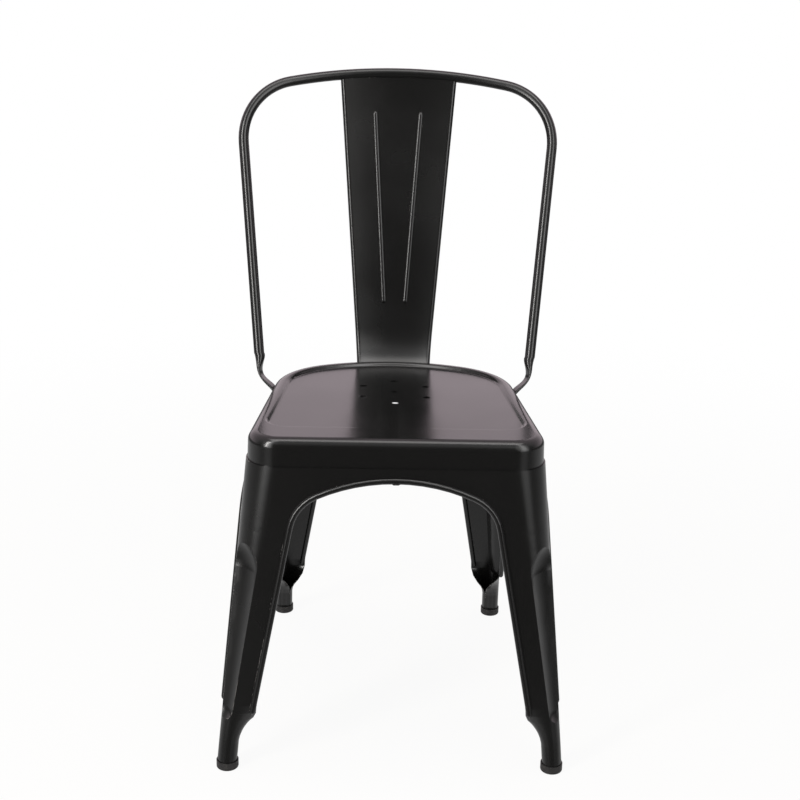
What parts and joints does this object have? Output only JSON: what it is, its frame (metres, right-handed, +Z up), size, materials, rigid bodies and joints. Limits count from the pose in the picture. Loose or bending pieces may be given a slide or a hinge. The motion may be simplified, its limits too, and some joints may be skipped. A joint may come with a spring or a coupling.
{
  "type": "metal bistro chair",
  "caption": "Armless stacking metal dining chair with pressed fluted legs, a sunk seat with drain holes, and a bent-tube backrest with a centre panel.",
  "frame": {"origin": "on the floor, midway between the four feet", "axes": "+Z up, the sitter faces -Y, +X to the right of someone who looks at the front"},
  "size_m": [0.4464, 0.4924, 0.8507],
  "materials": {
    "seat_paint": "satin black powder coat",
    "leg_paint": "satin black powder coat",
    "hoop_paint": "satin black powder coat",
    "panel_paint": "satin black powder coat",
    "brace_paint": "satin black powder coat",
    "screw_paint": "satin black powder coat",
    "nut_steel": "zinc plated",
    "cap_plastic": "matt black moulding"
  },
  "bodies": {
    "root": {"seat_pan": "seat_paint", "front_left_leg": "leg_paint", "front_right_leg": "leg_paint", "rear_left_leg": "leg_paint", "rear_right_leg": "leg_paint", "backrest_hoop": "hoop_paint", "back_panel": "panel_paint", "backrest_screws": "screw_paint", "backrest_nuts": "nut_steel", "back_panel_rivets": "screw_paint", "cross_brace_lower": "brace_paint", "cross_brace_upper": "brace_paint", "brace_rivet": "screw_paint", "foot_cap_front_left": "cap_plastic", "foot_cap_front_right": "cap_plastic", "foot_cap_rear_left": "cap_plastic", "foot_cap_rear_right": "cap_plastic"}
  },
  "joints": []
}
